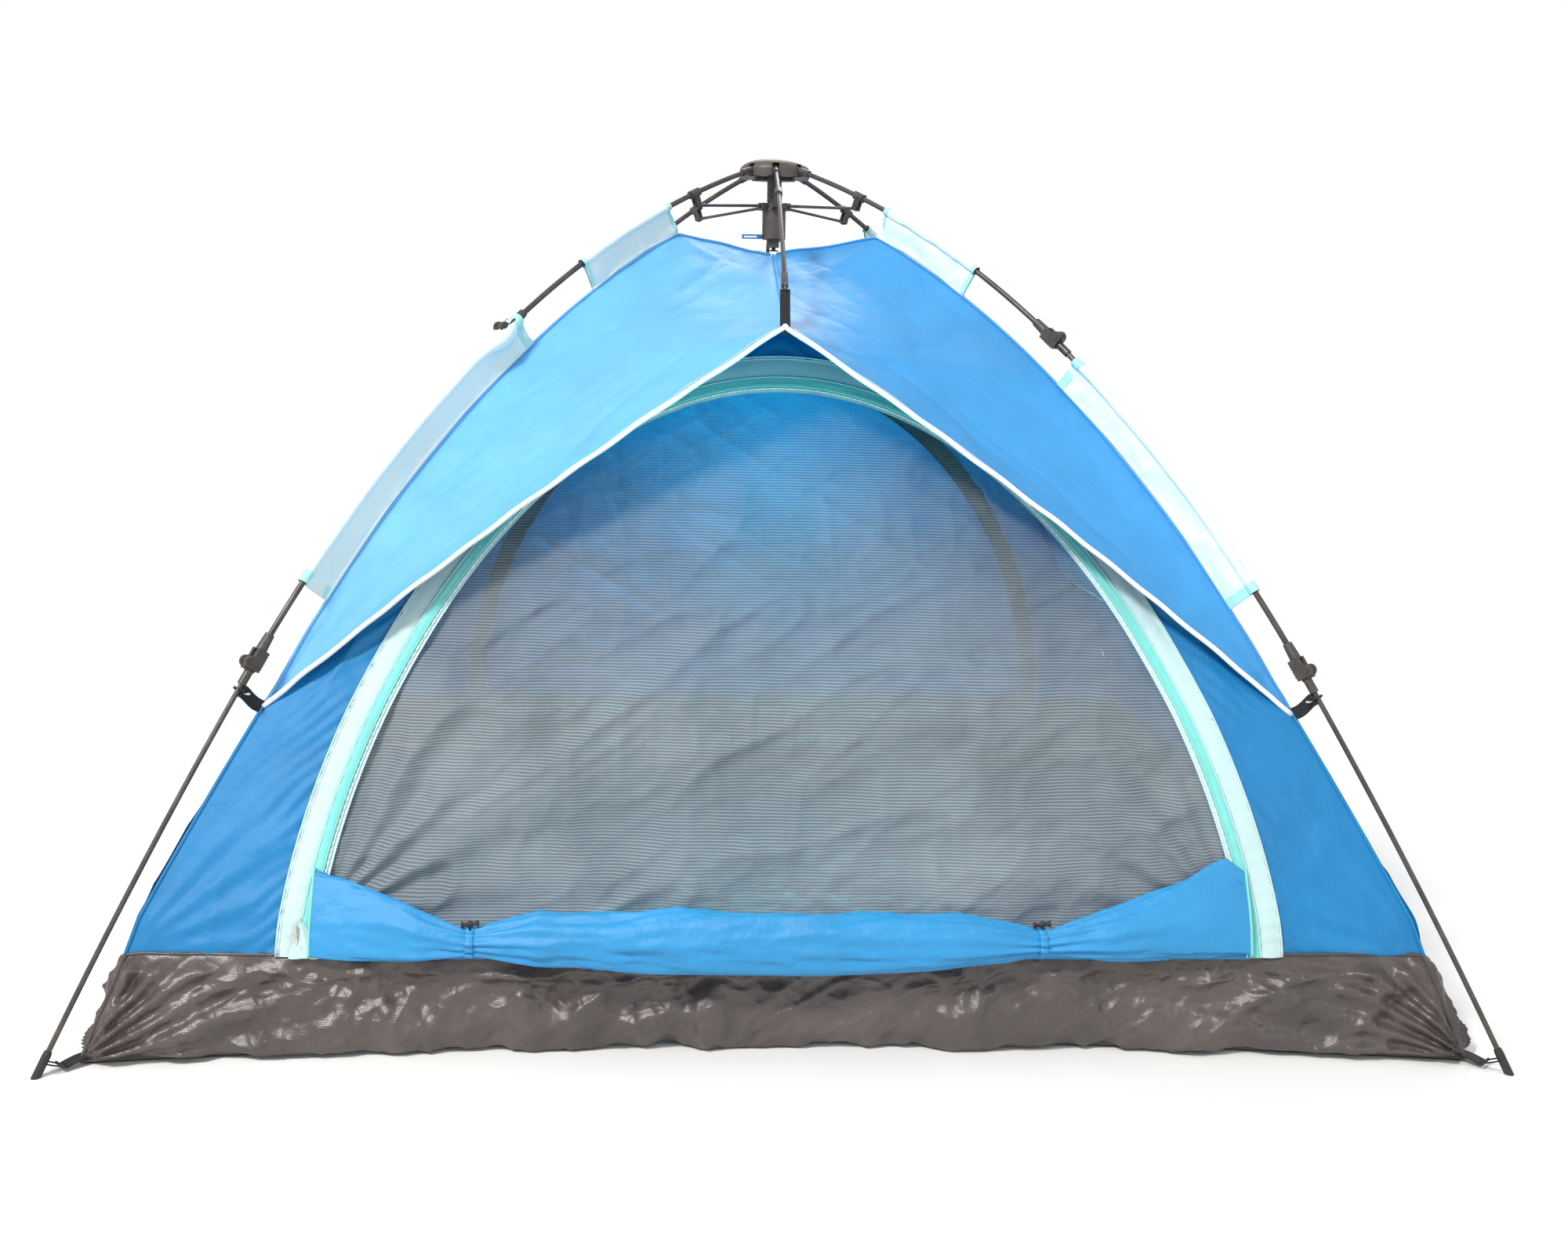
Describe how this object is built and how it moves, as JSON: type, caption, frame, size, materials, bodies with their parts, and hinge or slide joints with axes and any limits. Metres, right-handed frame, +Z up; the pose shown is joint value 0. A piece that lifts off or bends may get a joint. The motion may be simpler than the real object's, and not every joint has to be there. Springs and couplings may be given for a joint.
{
  "type": "pop up tent",
  "caption": "Square pop up tent with a central folding hub, four jointed outside legs, a two-tone canopy with front and back points, a zipped mesh door and a rolled outer door.",
  "frame": {"origin": "on the ground, at the middle of the box, under the hub", "axes": "+Z up, the zipped door faces -Y, +X to the right of the door seen from outside"},
  "size_m": [2.2114, 2.2114, 1.455],
  "materials": {
    "hub_plastic": "moulded dark grey-brown plastic",
    "frame_tube": "grey-brown painted tube with dark ferrules",
    "pin_steel": "bare steel pins",
    "elbow_plastic": "moulded dark grey-brown plastic with ribs",
    "foot_plastic": "black moulded plastic",
    "groundsheet": "dark brown coated woven sheet, crumpled, slightly shiny",
    "wall_cloth": "blue coated polyester",
    "canopy_cloth": "light blue coated polyester",
    "mint_cloth": "pale mint coated polyester",
    "edge_cloth": "dark grey-brown edge cloth",
    "mesh": "grey see-through mesh",
    "webbing": "black woven webbing",
    "zip_metal": "light painted metal"
  },
  "bodies": {
    "root": {"groundsheet": "groundsheet", "tub_wall": "groundsheet", "left_wall": "wall_cloth", "right_wall": "wall_cloth", "front_wall": "wall_cloth", "back_wall": "wall_cloth", "front_door_band": "mint_cloth", "back_door_band": "edge_cloth", "back_door_panel": "wall_cloth", "canopy_left": "canopy_cloth", "canopy_right": "canopy_cloth", "upper_sleeves": "mint_cloth", "middle_sleeves": "mint_cloth", "door_roll": "wall_cloth", "door_ties": "wall_cloth", "leg_clips": "webbing", "corner_tabs": "webbing", "apex_loops": "webbing"},
    "hub": {"hub_crown": "hub_plastic", "crown_pins": "pin_steel", "hub_column": "frame_tube", "column_end_cap": "hub_plastic", "canopy_hook": "webbing"},
    "runner": {"runner": "hub_plastic", "runner_pins": "pin_steel", "runner_pull_tab": "wall_cloth"},
    "front_arm": {"front_arm": "frame_tube"},
    "strut_front": {"strut_front": "frame_tube"},
    "back_arm": {"back_arm": "frame_tube"},
    "strut_back": {"strut_back": "frame_tube"},
    "strut_front_right": {"strut_front_right": "frame_tube"},
    "upper_front_right": {"upper_leg_front_right": "frame_tube", "upper_elbow_front_right": "elbow_plastic"},
    "middle_front_right": {"middle_leg_front_right": "frame_tube", "lower_elbow_front_right": "elbow_plastic"},
    "lower_front_right": {"lower_leg_front_right": "frame_tube", "foot_front_right": "foot_plastic"},
    "strut_back_right": {"strut_back_right": "frame_tube"},
    "upper_back_right": {"upper_leg_back_right": "frame_tube", "upper_elbow_back_right": "elbow_plastic"},
    "middle_back_right": {"middle_leg_back_right": "frame_tube", "lower_elbow_back_right": "elbow_plastic"},
    "lower_back_right": {"lower_leg_back_right": "frame_tube", "foot_back_right": "foot_plastic"},
    "strut_back_left": {"strut_back_left": "frame_tube"},
    "upper_back_left": {"upper_leg_back_left": "frame_tube", "upper_elbow_back_left": "elbow_plastic"},
    "middle_back_left": {"middle_leg_back_left": "frame_tube", "lower_elbow_back_left": "elbow_plastic"},
    "lower_back_left": {"lower_leg_back_left": "frame_tube", "foot_back_left": "foot_plastic"},
    "strut_front_left": {"strut_front_left": "frame_tube"},
    "upper_front_left": {"upper_leg_front_left": "frame_tube", "upper_elbow_front_left": "elbow_plastic"},
    "middle_front_left": {"middle_leg_front_left": "frame_tube", "lower_elbow_front_left": "elbow_plastic"},
    "lower_front_left": {"lower_leg_front_left": "frame_tube", "foot_front_left": "foot_plastic"},
    "mesh_door": {"mesh_door": "mesh"},
    "zip_slider": {"zip_slider": "zip_metal"}
  },
  "joints": [
    {"name": "frame_collapse", "type": "slide", "parent": "root", "child": "hub", "axis": [0, 0, -1], "range_m": [0, 0.55], "deforming": ["groundsheet", "tub_wall", "left_wall", "right_wall", "front_wall", "back_wall", "front_door_band", "back_door_band", "back_door_panel", "canopy_left", "canopy_right", "upper_sleeves", "middle_sleeves", "door_roll", "door_ties", "leg_clips", "corner_tabs", "apex_loops", "mesh_door", "zip_slider"]},
    {"name": "runner_slide", "type": "slide", "parent": "hub", "child": "runner", "axis": [0, 0, 1], "range_m": [0, 0.06641]},
    {"name": "strut_fold_front_right", "type": "hinge", "parent": "runner", "child": "strut_front_right", "pos_m": [0.02404, -0.02404, 1.361], "axis": [0.7071, 0.7071, 0], "range_deg": [0, 77.51]},
    {"name": "strut_fold_back_right", "type": "hinge", "parent": "runner", "child": "strut_back_right", "pos_m": [0.02404, 0.02404, 1.361], "axis": [-0.7071, 0.7071, 0], "range_deg": [0, 77.51]},
    {"name": "strut_fold_back_left", "type": "hinge", "parent": "runner", "child": "strut_back_left", "pos_m": [-0.02404, 0.02404, 1.361], "axis": [-0.7071, -0.7071, 0], "range_deg": [0, 77.51]},
    {"name": "strut_fold_front_left", "type": "hinge", "parent": "runner", "child": "strut_front_left", "pos_m": [-0.02404, -0.02404, 1.361], "axis": [0.7071, -0.7071, 0], "range_deg": [0, 77.51]},
    {"name": "strut_fold_front", "type": "hinge", "parent": "runner", "child": "strut_front", "pos_m": [0, -0.034, 1.361], "axis": [1, 0, 0], "range_deg": [0, 77.51]},
    {"name": "strut_fold_back", "type": "hinge", "parent": "runner", "child": "strut_back", "pos_m": [0, 0.034, 1.361], "axis": [-1, 0, 0], "range_deg": [0, 77.51]},
    {"name": "arm_fold_front", "type": "hinge", "parent": "hub", "child": "front_arm", "pos_m": [0, -0.05, 1.433], "axis": [1, 0, 0], "range_deg": [0, 60.01]},
    {"name": "arm_fold_back", "type": "hinge", "parent": "hub", "child": "back_arm", "pos_m": [0, 0.05, 1.433], "axis": [-1, 0, 0], "range_deg": [0, 60.01]},
    {"name": "leg_fold_front_right", "type": "hinge", "parent": "hub", "child": "upper_front_right", "pos_m": [0.03535, -0.03535, 1.433], "axis": [0.7071, 0.7071, 0], "range_deg": [0, 60.01]},
    {"name": "elbow_fold_front_right", "type": "hinge", "parent": "upper_front_right", "child": "middle_front_right", "pos_m": [0.48759, -0.48759, 1.10296], "axis": [-0.7071, -0.7071, 0], "range_deg": [0, 106.01]},
    {"name": "knee_fold_front_right", "type": "hinge", "parent": "middle_front_right", "child": "lower_front_right", "pos_m": [0.84267, -0.84267, 0.5738], "axis": [-0.7071, -0.7071, 0], "range_deg": [0, 150]},
    {"name": "leg_fold_back_right", "type": "hinge", "parent": "hub", "child": "upper_back_right", "pos_m": [0.03535, 0.03535, 1.433], "axis": [-0.7071, 0.7071, 0], "range_deg": [0, 60.01]},
    {"name": "elbow_fold_back_right", "type": "hinge", "parent": "upper_back_right", "child": "middle_back_right", "pos_m": [0.48759, 0.48759, 1.10296], "axis": [0.7071, -0.7071, 0], "range_deg": [0, 106.01]},
    {"name": "knee_fold_back_right", "type": "hinge", "parent": "middle_back_right", "child": "lower_back_right", "pos_m": [0.84267, 0.84267, 0.5738], "axis": [0.7071, -0.7071, 0], "range_deg": [0, 150]},
    {"name": "leg_fold_back_left", "type": "hinge", "parent": "hub", "child": "upper_back_left", "pos_m": [-0.03535, 0.03535, 1.433], "axis": [-0.7071, -0.7071, 0], "range_deg": [0, 60.01]},
    {"name": "elbow_fold_back_left", "type": "hinge", "parent": "upper_back_left", "child": "middle_back_left", "pos_m": [-0.48759, 0.48759, 1.10296], "axis": [0.7071, 0.7071, 0], "range_deg": [0, 106.01]},
    {"name": "knee_fold_back_left", "type": "hinge", "parent": "middle_back_left", "child": "lower_back_left", "pos_m": [-0.84267, 0.84267, 0.5738], "axis": [0.7071, 0.7071, 0], "range_deg": [0, 150]},
    {"name": "leg_fold_front_left", "type": "hinge", "parent": "hub", "child": "upper_front_left", "pos_m": [-0.03535, -0.03535, 1.433], "axis": [0.7071, -0.7071, 0], "range_deg": [0, 60.01]},
    {"name": "elbow_fold_front_left", "type": "hinge", "parent": "upper_front_left", "child": "middle_front_left", "pos_m": [-0.48759, -0.48759, 1.10296], "axis": [-0.7071, 0.7071, 0], "range_deg": [0, 106.01]},
    {"name": "knee_fold_front_left", "type": "hinge", "parent": "middle_front_left", "child": "lower_front_left", "pos_m": [-0.84267, -0.84267, 0.5738], "axis": [-0.7071, 0.7071, 0], "range_deg": [0, 150]},
    {"name": "door_swing", "type": "hinge", "parent": "root", "child": "mesh_door", "pos_m": [0, -0.985, 0.162], "axis": [1, 0, 0], "range_deg": [-55, 0]},
    {"name": "zip_slide", "type": "slide", "parent": "root", "child": "zip_slider", "axis": [0.1465, 0.4535, 0.8791], "range_m": [0, 0.28]}
  ],
  "couplings": [
    {"joint": "runner_slide", "follows": "frame_collapse", "ratio": 0.12073},
    {"joint": "strut_fold_front_right", "follows": "frame_collapse", "rad_per_m": 2.4593},
    {"joint": "strut_fold_back_right", "follows": "frame_collapse", "rad_per_m": 2.4593},
    {"joint": "strut_fold_back_left", "follows": "frame_collapse", "rad_per_m": 2.4593},
    {"joint": "strut_fold_front_left", "follows": "frame_collapse", "rad_per_m": 2.4593},
    {"joint": "strut_fold_front", "follows": "frame_collapse", "rad_per_m": 2.4593},
    {"joint": "strut_fold_back", "follows": "frame_collapse", "rad_per_m": 2.4593},
    {"joint": "arm_fold_front", "follows": "frame_collapse", "rad_per_m": 1.904},
    {"joint": "arm_fold_back", "follows": "frame_collapse", "rad_per_m": 1.904},
    {"joint": "leg_fold_front_right", "follows": "frame_collapse", "rad_per_m": 1.904},
    {"joint": "elbow_fold_front_right", "follows": "frame_collapse", "rad_per_m": 3.3637},
    {"joint": "leg_fold_back_right", "follows": "frame_collapse", "rad_per_m": 1.904},
    {"joint": "elbow_fold_back_right", "follows": "frame_collapse", "rad_per_m": 3.3637},
    {"joint": "leg_fold_back_left", "follows": "frame_collapse", "rad_per_m": 1.904},
    {"joint": "elbow_fold_back_left", "follows": "frame_collapse", "rad_per_m": 3.3637},
    {"joint": "leg_fold_front_left", "follows": "frame_collapse", "rad_per_m": 1.904},
    {"joint": "elbow_fold_front_left", "follows": "frame_collapse", "rad_per_m": 3.3637}
  ]
}
